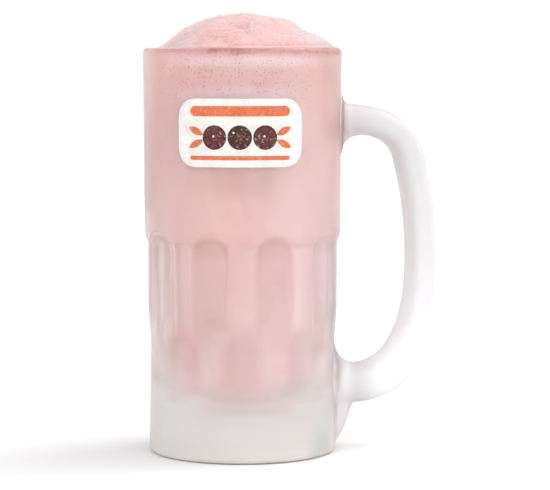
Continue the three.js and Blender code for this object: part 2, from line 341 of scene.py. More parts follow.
def loft(name, rings, first_tip=None, last_tip=None):
    """A closed object through rings of points, in millimetres, with a fan to a tip at each end."""
    rings = np.asarray(rings, float)
    count, steps, _ = rings.shape
    first_tip = rings[0].mean(axis=0) if first_tip is None else first_tip
    last_tip = rings[-1].mean(axis=0) if last_tip is None else last_tip
    points = np.vstack([rings.reshape(-1, 3), first_tip, last_tip]) * MM
    here = np.arange(count * steps).reshape(count, steps)
    beside = np.roll(here, -1, axis=1)
    quads = np.stack([here[:-1], beside[:-1], beside[1:], here[1:]], axis=-1).reshape(-1, 4)
    hub = np.full(steps, count * steps)
    start_fan = np.column_stack([hub, beside[0], here[0]])
    end_fan = np.column_stack([hub + 1, here[-1], beside[-1]])
    mesh = bpy.data.meshes.new(name)
    mesh.from_pydata(points.tolist(), [], quads.tolist() + start_fan.tolist() + end_fan.tolist())
    mesh.validate()
    mesh.shade_smooth()
    return add_object(name, mesh)


def add_object(name, mesh):
    made = bpy.data.objects.new(name, mesh)
    bpy.context.scene.collection.objects.link(made)
    return made


def combine(base, other, operation):
    """Joins other to base or cuts it away, and drops it."""
    modifier = base.modifiers.new(operation.lower(), "BOOLEAN")
    modifier.operation = operation
    modifier.solver = "MANIFOLD"
    modifier.object = other
    graph = bpy.context.evaluated_depsgraph_get()
    mesh = bpy.data.meshes.new_from_object(base.evaluated_get(graph))
    base.modifiers.clear()
    base.data = mesh
    bpy.data.objects.remove(other)


# Mug

def panel_offsets():
    """Angles across one panel and half of each ridge, closest together at the shoulders."""
    half_pitch = math.pi / PANEL_COUNT
    shoulder = PANEL_HALF_WIDTH / RIDGE_RADIUS
    reach = PANEL_SHOULDER / RIDGE_RADIUS
    flat = np.linspace(0, shoulder - reach, 6)[:-1]
    edge = np.linspace(shoulder - reach, shoulder + reach, 9)
    ridge = np.linspace(shoulder + reach, half_pitch, 4)[1:]
    half = np.concatenate([flat, edge, ridge])
    return np.concatenate([-half[-2:0:-1], half])


def ring_heights():
    """Heights of the rings of points up the outside of the mug."""
    foot_turn = np.linspace(0, math.pi / 2, FOOT_STEPS)
    foot = BASE_ROUNDING * (1 - np.cos(foot_turn))
    base = np.arange(4, NECK_Z - 1, BASE_STEP)
    panels = np.arange(NECK_Z - 1, BAND_FOOT_Z + 1.5, PANEL_STEP)
    band = np.arange(BAND_FOOT_Z + 2, MUG_HEIGHT - RIM_ROUNDING - 1, BAND_STEP)
    rim_turn = np.linspace(0, math.pi / 2, RIM_STEPS)
    rim = MUG_HEIGHT - RIM_ROUNDING * (1 - np.sin(rim_turn))
    return np.concatenate([foot, base, panels, band, rim])


def mug_outside():
    """The mug's outside as one closed shape, still without its handle and its bowl."""
    offsets = np.tile(panel_offsets(), PANEL_COUNT)
    pitch = 2 * math.pi / PANEL_COUNT
    panels = np.repeat(np.arange(PANEL_COUNT), len(offsets) // PANEL_COUNT)
    heights = ring_heights()[:, None]
    radius = pressed_radius(offsets[None, :], heights)
    return loft("mug_outside", turned(radius, panels * pitch + offsets, heights))


def bore_cutter():
    """The bowl's inside, flared over the lip's rounding, as the shape to cut away."""
    turn = np.linspace(0, math.pi / 2, MOUTH_STEPS)
    mouth = np.column_stack([
        BORE_RADIUS + RIM_ROUNDING * (1 - np.cos(turn)),
        MUG_HEIGHT - RIM_ROUNDING + RIM_ROUNDING * np.sin(turn),
    ])
    above = [[mouth[-1, 0], MUG_HEIGHT + RIM_ROUNDING]]
    outline = np.vstack([bowl_outline(0, BORE_STEP), mouth, above])
    angles = np.linspace(0, 2 * math.pi, BORE_SIDES, endpoint=False)
    rings = turned(outline[1:, 0:1], angles, outline[1:, 1:2])
    return loft("bore", rings, first_tip=[0, 0, outline[0, 1]])


def fillet(distance, radius):
    """Height of a round fillet at a distance from the wall that it leads into."""
    left = np.clip(radius - distance, 0, radius)
    return radius - np.sqrt(radius ** 2 - left ** 2)


def squared_oval():
    """Points round a squared oval, as columns of coordinates from -1 to 1."""
    turn = np.linspace(0, 2 * math.pi, HANDLE_SIDES, endpoint=False)
    power = 2 / HANDLE_SQUARENESS
    across, along = np.cos(turn), np.sin(turn)
    return np.sign(across) * np.abs(across) ** power, np.sign(along) * np.abs(along) ** power


def handle():
    """The handle along its middle line, spread into fillets where it meets the wall."""
    line = spline(HANDLE_LINE)
    total = line_lengths(line)[-1]
    upper = np.arange(0, BAND_FOOT_RADIUS + ROOT_REACH - HANDLE_LINE[0][0], ROOT_STEP)
    lower = total - upper[::-1]
    between = np.linspace(upper[-1], lower[0], ARM_STEPS)[1:-1]
    lengths = np.concatenate([upper, between, lower])
    points, along = walk(line, lengths)
    depth, width = squared_oval()
    swell = smoothstep(lengths / total, *HANDLE_SWELL)
    half_depth = lerp(HANDLE_HALF_DEPTH, HANDLE_FOOT_HALF_DEPTH, swell)
    zero = np.zeros((len(lengths), len(depth)))
    spoke = np.stack([
        -along[:, 1:2] * depth * half_depth[:, None],
        zero - width * HANDLE_HALF_WIDTH,
        along[:, 0:1] * depth * half_depth[:, None],
    ], axis=-1)
    middle = np.stack([points[:, 0:1] + zero, zero, points[:, 1:2] + zero], axis=-1)
    surface = middle + spoke
    wall = wall_radius(np.clip(surface[..., 2], 0, MUG_HEIGHT))
    distance = np.hypot(surface[..., 0], surface[..., 1]) - wall
    radius = lerp(HANDLE_FILLET, HANDLE_INNER_FILLET, np.clip(-depth, 0, 1) ** FILLET_FOCUS)
    spoke /= np.linalg.norm(spoke, axis=-1)[..., None]
    return loft("handle", surface + spoke * fillet(distance, radius)[..., None])


def tail():
    """The tail that runs down the wall below the handle's lower root."""
    sections = spline(TAIL_SECTIONS, steps=5)[::-1]
    depth, width = squared_oval()
    z, reach, half_width = sections.T[..., None]
    x = TAIL_AXIS_X + depth * (reach - TAIL_AXIS_X)
    rings = np.stack([x, width * half_width, z + 0 * x], axis=-1)
    return loft("tail", rings)


def make_mug():
    mug = mug_outside()
    combine(mug, handle(), "UNION")
    combine(mug, tail(), "UNION")
    combine(mug, bore_cutter(), "DIFFERENCE")
    mug.name = "frosted_mug"
    mug.data.shade_smooth()
    return mug


# Milkshake

def spill_side(angle):
    """How far a direction faces the side where the milkshake spills highest, from 0 to 1."""
    return smoothstep((1 + np.cos(angle - MOUND_TILT)) / 2, 0, 1)


def lap_point(angle, share, lift):
    """Radius and height of the froth's edge on the lip's rounding, lifted off the glass."""
    turn = share * lerp(LAP_LEAST, LAP_FULL, spill_side(angle))
    reach = RIM_ROUNDING + lift
    radius = BORE_RADIUS + RIM_ROUNDING - reach * np.cos(turn)
    return radius, MUG_HEIGHT - RIM_ROUNDING + reach * np.sin(turn)


def mound_height(radius, angle, edge_radius, edge_z):
    """Height of the mound over the rim: a round cap, a fold on the spilling side and a ledge."""
    ball = (CAP_FOOT_RADIUS ** 2 + CAP_HEIGHT ** 2) / (2 * CAP_HEIGHT)
    cap = np.sqrt(ball ** 2 - np.minimum(radius, ball) ** 2) - ball + CAP_HEIGHT
    turned_off = np.abs(np.arctan2(np.sin(angle - MOUND_TILT), np.cos(angle - MOUND_TILT)))
    fold = (
        FOLD_HEIGHT
        * smoothstep(radius, FOLD_INNER_RADIUS, FOLD_CREST_RADIUS)
        * (1 - smoothstep(radius, FOLD_DROP_RADIUS, FOLD_FOOT_RADIUS))
        * (1 - smoothstep(turned_off, FOLD_HALF_ANGLE / 2, FOLD_HALF_ANGLE))
    )
    outwards = np.clip((radius - LEDGE_INNER_RADIUS) / (edge_radius - LEDGE_INNER_RADIUS), 0, 1)
    ledge_rise = lerp(LEDGE_LOW, LEDGE_HIGH, spill_side(angle)) * (1 - outwards ** LEDGE_POWER)
    ledge = edge_z - MUG_HEIGHT + ledge_rise
    high = cap + fold
    rounded = (high + ledge + np.sqrt((high - ledge) ** 2 + LEDGE_BLEND ** 2)) / 2
    return lerp(rounded, edge_z - MUG_HEIGHT, outwards ** EDGE_POWER)


def froth_relief(point):
    """How far the froth stands out at a point: slow waves, lumps, wrinkles and burst bubbles."""
    place = Vector(point) + FROTH_SHIFT
    waves = noise.noise(place / WAVE_PITCH) * WAVE_HEIGHT
    bent = place + noise.noise_vector(place / WAVE_PITCH) * LUMP_PITCH
    lumps = noise.noise(bent / LUMP_PITCH) * LUMP_HEIGHT
    wrinkles = noise.noise(bent / WRINKLE_PITCH) * WRINKLE_HEIGHT
    distances, centres = noise.voronoi(place / PIT_PITCH)
    open_pit = noise.cell(centres[0] * PIT_SHUFFLE) > PIT_LIMIT
    pit = max(0.0, 1 - distances[0] / PIT_SIZE) if open_pit else 0.0
    return waves + lumps + wrinkles - PIT_DEPTH * pit * pit * (3 - 2 * pit)


def make_milkshake():
    """The milkshake from the bowl's floor up to the mound, with its froth's relief noted."""
    noise.seed_set(FROTH_SEED)
    angles = np.linspace(0, 2 * math.pi, SHAKE_SIDES, endpoint=False)
    outline = bowl_outline(-WALL_REACH, SHAKE_STEP)
    body = [turned(radius, angles, z) for radius, z in outline[1:]]
    wall = np.arange(outline[-1, 1] + 3, MUG_HEIGHT - RIM_ROUNDING - 1, 3)
    body += [turned(BORE_RADIUS + WALL_REACH, angles, z) for z in wall]
    for share in np.linspace(0, 1, LAP_STEPS):
        radius, z = lap_point(angles, share, -WALL_REACH)
        body.append(turned(radius, angles, z))
    edge_radius, edge_z = lap_point(angles, 1, EDGE_LIFT)
    mound, relief = [], []
    for share in np.linspace(1, 0, MOUND_RINGS, endpoint=False):
        radius = edge_radius * share
        z = MUG_HEIGHT + mound_height(radius, angles, edge_radius, edge_z)
        ring = turned(radius, angles, z)
        calm = smoothstep(share, 1, CALM_FROM)
        relief.append(np.array([froth_relief(point) for point in ring]) * calm)
        ring[:, 2] += relief[-1]
        mound.append(ring)
    summit = [0, 0, mound[-1][:, 2].mean()]
    shake = loft("berry_shake", body + mound, first_tip=[0, 0, outline[0, 1]], last_tip=summit)
    proud = np.concatenate([np.zeros(len(body) * len(angles)), np.concatenate(relief), [0, 0]])
    shake.data.attributes.new("relief", "FLOAT", "POINT").data.foreach_set("value", proud)
    return shake


# Badge

def rounded_bar(half_width, half_height, corner, middle=(0, 0)):
    """Outline of a bar with round corners, anticlockwise."""
    outline = []
    for quarter, (side, level) in enumerate([(1, 1), (-1, 1), (-1, -1), (1, -1)]):
        for step in range(7):
            turn = (quarter + step / 6) * math.pi / 2
            x = side * (half_width - corner) + corner * math.cos(turn)
            y = level * (half_height - corner) + corner * math.sin(turn)
            outline.append((middle[0] + x, middle[1] + y))
    return outline


def disc(radius, middle, steps=36):
    turns = np.linspace(0, 2 * math.pi, steps, endpoint=False)
    return [(middle[0] + radius * math.cos(t), middle[1] + radius * math.sin(t)) for t in turns]


def drupes(middle):
    """Outlines of a berry's small round grains: one in its middle and six round that."""
    turns = [math.pi * (step / 3 + 1 / 6) for step in range(6)]
    ring = [
        (middle[0] + DRUPE_RING_RADIUS * math.cos(t), middle[1] + DRUPE_RING_RADIUS * math.sin(t))
        for t in turns
    ]
    return [disc(DRUPE_RADIUS, spot, 16) for spot in [middle] + ring]


def crown(middle):
    """Outline of a berry's crown with five points."""
    outline = []
    for step in range(10):
        turn = math.pi * (step / 5 + 1 / 2)
        reach = CROWN_INNER_RADIUS if step % 2 else CROWN_RADIUS
        outline.append((middle[0] + reach * math.cos(turn), middle[1] + reach * math.sin(turn)))
    return outline


def leaf(root, direction):
    """Outline of a pointed leaf from its root, in a direction in degrees."""
    turn = math.radians(direction)
    shares = np.linspace(0, 1, 11)
    width = LEAF_WIDTH / 2 * np.sin(math.pi * shares) ** 0.8
    along = np.concatenate([shares, shares[-2:0:-1]]) * LEAF_LENGTH
    across = np.concatenate([-width, width[-2:0:-1]])
    x = root[0] + along * math.cos(turn) - across * math.sin(turn)
    y = root[1] + along * math.sin(turn) + across * math.cos(turn)
    return list(zip(x.tolist(), y.tolist()))


def make_print(name, outlines, lift):
    """Thin closed patches on the band from outlines round the badge's middle, lifted off it."""
    shape = bmesh.new()
    for outline in outlines:
        shape.faces.new([shape.verts.new((x, y, 0)) for x, y in outline])
    for x in np.arange(-BADGE_HALF_WIDTH, BADGE_HALF_WIDTH, PRINT_STEP):
        parts = shape.verts[:] + shape.edges[:] + shape.faces[:]
        bmesh.ops.bisect_plane(shape, geom=parts, plane_co=(x, 0, 0), plane_no=(1, 0, 0))
    raised = bmesh.ops.extrude_face_region(shape, geom=shape.faces[:], use_keep_orig=True)["geom"]
    for part in raised:
        if isinstance(part, bmesh.types.BMVert):
            part.co.z = 1
    bmesh.ops.recalc_face_normals(shape, faces=shape.faces)
    for vertex in shape.verts:
        z = BADGE_Z + vertex.co.y
        wall = float(wall_radius(z))
        angle = BADGE_ANGLE + vertex.co.x / wall
        radius = wall + (lift if vertex.co.z > 0.5 else -INK_SINK)
        vertex.co = Vector((radius * math.cos(angle), radius * math.sin(angle), z)) * MM
    mesh = bpy.data.meshes.new(name)
    shape.to_mesh(mesh)
    shape.free()
    return add_object(name, mesh)


def make_badge():
    """A plain ticket with two bars, three berries and their leaves, as pieces with their inks."""
    white, orange = ink("white_ink", WHITE_INK), ink("orange_ink", ORANGE_INK)
    maroon, berry = ink("maroon_ink", MAROON_INK), ink("berry_ink", BERRY_INK)
    plate = rounded_bar(BADGE_HALF_WIDTH, BADGE_HALF_HEIGHT, BADGE_CORNER)
    bars = [
        rounded_bar(BAR_HALF_LENGTH, half_height, half_height, (0, y))
        for y, half_height in [(TOP_BAR_Y, TOP_BAR_HALF_HEIGHT), (FOOT_BAR_Y, FOOT_BAR_HALF_HEIGHT)]
    ]
    left, middle, right = [(x * BERRY_PITCH, BERRY_Y) for x in (-1, 0, 1)]
    berries = [disc(BERRY_RADIUS, spot) for spot in (left, middle, right)]
    stalk = BERRY_PITCH + BERRY_RADIUS - LEAF_TUCK
    leaves = [
        leaf((side * stalk, BERRY_Y + slant), (90 - 90 * side) + side * slant * LEAF_SPREAD)
        for side in (-1, 1)
        for slant in (-1, 1)
    ]
    grains = drupes(left) + [crown(middle)] + drupes(right)
    gleams = [
        disc(GLEAM_RADIUS, (x + shift_x, y + shift_y), 10)
        for (x, y), (shift_x, shift_y) in [
            (left, GLEAM_SHIFT),
            (right, GLEAM_SHIFT),
            (middle, MIDDLE_GLEAM_SHIFT),
        ]
    ]
    pieces = [
        ("badge_plate", [plate], PLATE_LIFT, white),
        ("badge_bars", bars, INK_LIFT, orange),
        ("badge_leaves", leaves, INK_LIFT, orange),
        ("badge_berries", berries, INK_LIFT, maroon),
        ("badge_grains", grains, DRUPE_LIFT, berry),
        ("badge_gleams", gleams, GLEAM_LIFT, white),
    ]
    for name, outlines, lift, material in pieces:
        dress(make_print(name, outlines, lift), material)


# Materials

def srgb(red, green, blue, alpha=1.0):
    """A colour given as seen on screen, from 0 to 255."""
    channels = np.array([red, green, blue]) / 255
    linear = np.where(channels <= 0.04045, channels / 12.92, ((channels + 0.055) / 1.055) ** 2.4)
    return (*linear.tolist(), alpha)


def new_material(name, **settings):
    """A material with one Principled shader, its node tree and that shader."""
    material = bpy.data.materials.new(name)
    material.use_nodes = True
    tree = material.node_tree
    shader = tree.nodes["Principled BSDF"]
    for socket, value in settings.items():
        shader.inputs[socket.replace("_", " ")].default_value = value
    return material, tree, shader


def feed(tree, value, socket):
    """Gives a socket a link or a plain value."""
    if isinstance(value, bpy.types.NodeSocket):
        tree.links.new(value, socket)
    else:
        socket.default_value = value


def place_node(tree):
    return tree.nodes.new("ShaderNodeTexCoord").outputs["Object"]


def parts_node(tree, place):
    node = tree.nodes.new("ShaderNodeSeparateXYZ")
    feed(tree, place, node.inputs["Vector"])
    return [node.outputs[axis] for axis in "XYZ"]


def relief_node(tree):
    """How far the froth stands out, in millimetres."""
    node = tree.nodes.new("ShaderNodeAttribute")
    node.attribute_name = "relief"
    return node.outputs["Fac"]


def stretch_node(tree, place, factors):
    node = tree.nodes.new("ShaderNodeVectorMath")
    node.operation = "MULTIPLY"
    feed(tree, place, node.inputs[0])
    feed(tree, factors, node.inputs[1])
    return node.outputs["Vector"]


def radius_node(tree, place):
    """Distance from the mug's axis."""
    node = tree.nodes.new("ShaderNodeVectorMath")
    node.operation = "LENGTH"
    feed(tree, stretch_node(tree, place, (1, 1, 0)), node.inputs[0])
    return node.outputs["Value"]


def noise_node(tree, place, pitch, detail=2.0, swirl=0.0):
    """Noise with a pitch in millimetres."""
    node = tree.nodes.new("ShaderNodeTexNoise")
    node.inputs["Scale"].default_value = 1 / (pitch * MM)
    node.inputs["Detail"].default_value = detail
    node.inputs["Distortion"].default_value = swirl
    feed(tree, place, node.inputs["Vector"])
    return node.outputs["Fac"]


def stops_node(tree, factor, stops):
    """Linear colours at places from 0 to 1, in rising order."""
    node = tree.nodes.new("ShaderNodeValToRGB")
    elements = node.color_ramp.elements
    elements.remove(elements[1])
    elements[0].position, elements[0].color = stops[0]
    for at, colour in stops[1:]:
        elements.new(at).color = colour
    feed(tree, factor, node.inputs["Fac"])
    return node.outputs["Color"]


def ramp_node(tree, factor, stops):
    """Colours on screen at places from 0 to 1."""
    return stops_node(tree, factor, [(at, srgb(*colour)) for at, colour in stops])


def range_node(tree, value, source, target, curve="LINEAR"):
    node = tree.nodes.new("ShaderNodeMapRange")
    node.interpolation_type = curve
    node.inputs["From Min"].default_value, node.inputs["From Max"].default_value = source
    node.inputs["To Min"].default_value, node.inputs["To Max"].default_value = target
    feed(tree, value, node.inputs["Value"])
    return node.outputs["Result"]


def span_node(tree, length, limits, target, curve="LINEAR"):
    """A number that goes over its target range between two lengths in millimetres."""
    return range_node(tree, length, [limit * MM for limit in limits], target, curve)


def math_node(tree, operation, first, second=0.0):
    node = tree.nodes.new("ShaderNodeMath")
    node.operation = operation
    feed(tree, first, node.inputs[0])
    feed(tree, second, node.inputs[1])
    return node.outputs["Value"]


def times_node(tree, first, *others):
    for other in others:
        first = math_node(tree, "MULTIPLY", first, other)
    return first


def sum_node(tree, first, *others):
    for other in others:
        first = math_node(tree, "ADD", first, other)
    return first


def profile_node(tree, length, stops):
    """Shares given at some lengths in millimetres, in rising order, and even between them."""
    low, high = stops[0][0], stops[-1][0]
    along = range_node(tree, length, (low * MM, high * MM), (0, 1))
    greys = [((at - low) / (high - low), (share, share, share, 1)) for at, share in stops]
    return stops_node(tree, along, greys)


def belt_node(tree, length, rise, fall):
    """A share that goes up over one range of a length and down over another, in millimetres."""
    up = span_node(tree, length, rise, (0, 1), "SMOOTHSTEP")
    down = span_node(tree, length, fall, (1, 0), "SMOOTHSTEP")
    return times_node(tree, up, down)


def patch_node(tree, at, sides, rise, fall):
    """A share by a profile from left to right and a belt of heights."""
    return times_node(tree, profile_node(tree, at.x, sides), belt_node(tree, at.height, rise, fall))


def field_node(tree, at, sides, levels):
    """A share by a profile from left to right and one of heights."""
    return times_node(tree, profile_node(tree, at.x, sides), profile_node(tree, at.height, levels))


def blend_node(tree, share, start, end):
    """A number that goes from one to the other as the share goes from 0 to 1."""
    node = tree.nodes.new("ShaderNodeMix")
    for socket, value in zip(("Factor", "A", "B"), (share, start, end)):
        feed(tree, value, node.inputs[socket])
    return node.outputs["Result"]


def mix_node(tree, share, first, second, blend="MIX"):
    """One colour over another, each a socket or a colour on screen."""
    node = tree.nodes.new("ShaderNodeMix")
    node.data_type = "RGBA"
    node.blend_type = blend
    sockets = [socket for socket in node.inputs if socket.type == "RGBA"]
    for socket, value in zip(sockets, (first, second)):
        feed(tree, srgb(*value) if isinstance(value, tuple) else value, socket)
    feed(tree, share, node.inputs["Factor"])
    return next(socket for socket in node.outputs if socket.type == "RGBA")


def bump_node(tree, height, depth, shader):
    """Relief of a depth in millimetres."""
    node = tree.nodes.new("ShaderNodeBump")
    node.inputs["Distance"].default_value = depth * MM
    feed(tree, height, node.inputs["Height"])
    tree.links.new(node.outputs["Normal"], shader.inputs["Normal"])


def specks_node(tree, at):
    """1 in small burst bubbles, which crowd together a little below the rim."""
    cells = tree.nodes.new("ShaderNodeTexVoronoi")
    cells.inputs["Scale"].default_value = 1 / (SPECK_PITCH * MM)
    feed(tree, at.place, cells.inputs["Vector"])
    dots = range_node(tree, cells.outputs["Distance"], (0.12, 0.42), (1, 0))
    rows = noise_node(tree, stretch_node(tree, at.place, (1, 1, 2.4)), 6.0)
    crowd = times_node(
        tree,
        profile_node(tree, at.height, [(154, 0.4), (163, 1), (172, 1), (176, 0.5)]),
        profile_node(tree, at.x, [(-40, 0.3), (-33, 0.8), (-26, 1), (8, 1), (20, 0.6), (32, 0.3)]),
        range_node(tree, rows, (0.44, 0.56), (0.3, 0.9)),
    )
    chosen = math_node(tree, "LESS_THAN", cells.outputs["Color"], crowd)
    return times_node(tree, dots, chosen, belt_node(tree, at.height, (148, 157), (176, 177)))


def rim_line_node(tree, at):
    """1 in the streaky line under the lip, strongest at the front and towards the handle."""
    streaks = noise_node(tree, stretch_node(tree, at.place, (1, 1, 0.12)), 1.8, 3.0)
    wide = noise_node(tree, at.place, 15.0)
    drop = range_node(tree, noise_node(tree, at.place, 7.0), (0.35, 0.65), (-0.3 * MM, 1.3 * MM))
    sides = [
        (-43, 0), (-41, 0.1), (-38, 0.6), (-32, 0.6), (-29, 0.1), (-24, 0.2), (-21, 1),
        (1, 1), (5, 0.6), (14, 0.6), (20, 1), (36, 1), (42, 0.5),
    ]
    return times_node(
        tree,
        range_node(tree, streaks, (0.42, 0.6), (0.4, 1)),
        range_node(tree, wide, (0.42, 0.58), (0.7, 1)),
        profile_node(tree, at.x, sides),
        belt_node(tree, math_node(tree, "ADD", at.height, drop), (175.6, 176.2), (180, 181)),
        belt_node(tree, at.height, (173, 174), (177.2, 177.8)),
    )


def glass_places(tree):
    """Lengths on the glass, and shares of it, that its frost and its tint both go by."""
    place = place_node(tree)
    x, y, height = parts_node(tree, place)
    radius = radius_node(tree, place)
    neck = span_node(
        tree, height, (NECK_Z, RIDGE_FOOT_Z), (NECK_RADIUS * MM, RIDGE_RADIUS * MM), "SMOOTHSTEP"
    )
    down = span_node(tree, height, (RIDGE_TOP_Z, BAND_FOOT_Z), (1, 0))
    bulge = math_node(tree, "SQRT", math_node(tree, "SUBTRACT", 1.0, times_node(tree, down, down)))
    bulge = times_node(tree, bulge, (BAND_FOOT_RADIUS - RIDGE_RADIUS) * MM)
    skirt = span_node(tree, height, SKIRT_Z, [radius * MM for radius in SKIRT_RADIUS])
    beyond = math_node(tree, "SUBTRACT", radius, skirt)
    low = span_node(tree, height, THICK_Z, (0, 1), "SMOOTHSTEP")
    aside = span_node(tree, beyond, THICK_BEYOND, (0, 1), "SMOOTHSTEP")
    left = profile_node(tree, x, [(-33, 1), (-28, 0)])
    # Painted light low down where the pink ends: paler frost and a pinker tint
    low_painted_light = profile_node(tree, x, [(-36, 0), (-31, 1), (-27, 1), (-20, 0.4), (0, 0.5), (9, 0)])
    return SimpleNamespace(
        place=place,
        x=x,
        y=y,
        height=height,
        radius=radius,
        across=math_node(tree, "ABSOLUTE", x),
        sunk=math_node(tree, "SUBTRACT", math_node(tree, "ADD", neck, bulge), radius),
        beyond=beyond,
        low=low,
        upper=span_node(tree, height, HANDLE_Z, (0, 1)),
        aside=aside,
        thick=math_node(tree, "MAXIMUM", low, aside),
        left=times_node(tree, left, profile_node(tree, height, [(56, 0), (72, 1)])),
        low_painted_light=times_node(tree, low_painted_light, belt_node(tree, height, (26, 31), (36, 43))),
        frost=noise_node(tree, place, 5.0, 6.0),
    )


def frost_cover(tree, at):
    """How much of the glass the frost hides, from 0 to 1, much of it laid on as painted light,
    highlights and sheen.
    """
    # Painted highlight: paler frost on the ridges, strongest on the right-hand ridge
    ridge_highlights = span_node(tree, at.sunk, (1.1, 0), (0, RIDGE_HIGHLIGHT_FROST), "SMOOTHSTEP")
    ridge_highlights = times_node(
        tree,
        ridge_highlights,
        profile_node(tree, at.x, [(0, 0.35), (12, 0.7), (16, 1), (19, 0.9), (22, 0.4), (26, 0.4)]),
    )
    shoulders = times_node(tree, belt_node(tree, at.sunk, (0.05, 0.35), (0.6, 1)), SHOULDER_FROST)
    raised = math_node(tree, "ADD", ridge_highlights, shoulders)
    raised = times_node(tree, raised, belt_node(tree, at.height, (48, 60), (90, 97)))
    # Painted light: pale lobes of frost under the panels
    turn = math_node(tree, "ARCTAN2", at.y, at.x)
    beat = math_node(tree, "COSINE", times_node(tree, turn, float(PANEL_COUNT)))
    lobe_light = range_node(tree, beat, (-0.4, 1), (0, LOBE_LIGHT_FROST), "SMOOTHSTEP")
    lobe_light = times_node(tree, lobe_light, belt_node(tree, at.height, (28, 38), (44, 57)))
    drips = noise_node(tree, stretch_node(tree, at.place, (1, 1, 0.04)), 2.6)
    drips = times_node(
        tree,
        range_node(tree, drips, (0.4, 0.62), (0, STREAK_FROST)),
        span_node(tree, at.across, (24, 36), (0, 1), "SMOOTHSTEP"),
        belt_node(tree, at.height, (40, 52), (92, 98)),
    )
    # Painted highlight along the left panel's shoulder
    shoulder_highlight = times_node(tree, belt_node(tree, at.sunk, (0.3, 0.5), (0.9, 1.2)), at.left, SHOULDER_HIGHLIGHT_FROST)
    patches = range_node(tree, at.frost, (0.4, 0.65), (0.01, PATCH_FROST))
    band = span_node(tree, at.height, (165, 110), (0, LOW_VEIL))
    # Painted light: a paler veil of frost on the left side
    left_light_veil = field_node(
        tree,
        at,
        [(-42, 0.3), (-38, 1), (-35, 0.67), (-32, 0.25), (-10, 0)],
        [(50, 0.5), (62, 0.8), (75, 1), (97, 1), (115, 0.25)],
    )
    near = field_node(
        tree,
        at,
        [(-8, 0), (6, 0.57), (18, 1), (26, 0.7), (34, 0.35)],
        [(86, 0.32), (101, 0.67), (145, 0.6), (160, 0.45)],
    )
    # Painted sheen: paler frost at the outer edges
    edge = field_node(
        tree,
        at,
        [(-43, 1), (-41.5, 0.6), (-39.5, 0), (39.5, 0), (41.5, 0.4), (43, 0.6)],
        [(92, 0.2), (99, 1), (104, 1), (109, 0.25), (138, 0.35), (155, 0.9)],
    )
    # Painted light at the foot of the panels on both sides
    corner = patch_node(
        tree,
        at,
        [(-39, 0), (-35, 1), (-31, 1), (-26, 0), (14, 0), (19, 0.5), (24, 0.6), (29, 0)],
        (33, 38),
        (46, 54),
    )
    # Painted light over the badge, against its shadow
    badge_halo_light = patch_node(tree, at, [(-36, 0), (-28, 1), (10, 1), (18, 0)], (155, 157), (159, 163))
    # Painted light on the right panel
    right_panel_light = field_node(
        tree,
        at,
        [(25, 0), (31, 1), (35, 1), (37, 0)],
        [(60, 0), (75, 0.6), (84, 1), (96, 1), (99, 0)],
    )
    veils = [band] + [
        times_node(tree, share, frost)
        for share, frost in [
            (left_light_veil, LEFT_LIGHT_VEIL),
            (near, HANDLE_VEIL),
            (edge, EDGE_SHEEN_FROST),
            (corner, CORNER_LIGHT_FROST),
            (badge_halo_light, HALO_LIGHT_FROST),
            (right_panel_light, PANEL_LIGHT_FROST),
            (at.low_painted_light, LOW_LIGHT_FROST),
        ]
    ]
    return sum_node(tree, at.thick, raised, lobe_light, drips, shoulder_highlight, patches, *veils)


def foot_tint(tree, at):
    """Colour of the thick foot, darkest under the bowl, with painted shade along its bottom edge and
    on its right side and painted light low down and on its left.
    """
    # Painted shade along the very bottom edge, and painted light as the foot gets paler downwards
    stops = [
        (0, (150, 140, 138)),
        (0.03, (239, 234, 231)),
        (0.14, (240, 236, 233)),
        (0.25, (234, 229, 226)),
        (0.5, (223, 218, 217)),
        (0.8, (208, 201, 200)),
        (0.98, (232, 216, 214)),
    ]
    colour = ramp_node(tree, span_node(tree, at.height, (0, 30), (0, 1)), stops)
    # Painted light on the left of the foot
    west_light = profile_node(tree, at.x, [(-41, 0.2), (-38, 0.6), (-22, 0)])
    colour = mix_node(tree, west_light, colour, (236, 242, 241))
    # Painted light at the foot's left edge
    verge_light = patch_node(tree, at, [(-41.2, 1), (-40.3, 0.6), (-39, 0)], (5, 14), (30, 38))
    colour = mix_node(tree, verge_light, colour, (240, 240, 239))
    # Painted shade on the right of the foot
    east_shade = field_node(tree, at, [(21, 0), (28, 1), (33, 1), (37, 0.2)], [(9, 1), (22, 0.3)])
    return mix_node(tree, east_shade, colour, (213, 214, 213))


def handle_tint(tree, at):
    """Colour of the handle, with painted shade at its upper end and where it leaves the wall, and
    painted light on its inner part.
    """
    # Painted shade where the handle leaves the wall and towards its upper end; its inner part is
    # painted lighter than its outer arm
    root = span_node(tree, at.radius, (50, 66), (1, 0), "SMOOTHSTEP")
    outer_shade = span_node(tree, at.radius, (74, 86), (0, 1))
    colour = mix_node(tree, outer_shade, (254, 253, 254), (244, 243, 245))
    colour = mix_node(tree, at.upper, colour, (225, 224, 225))
    return mix_node(tree, root, colour, (219, 218, 220))


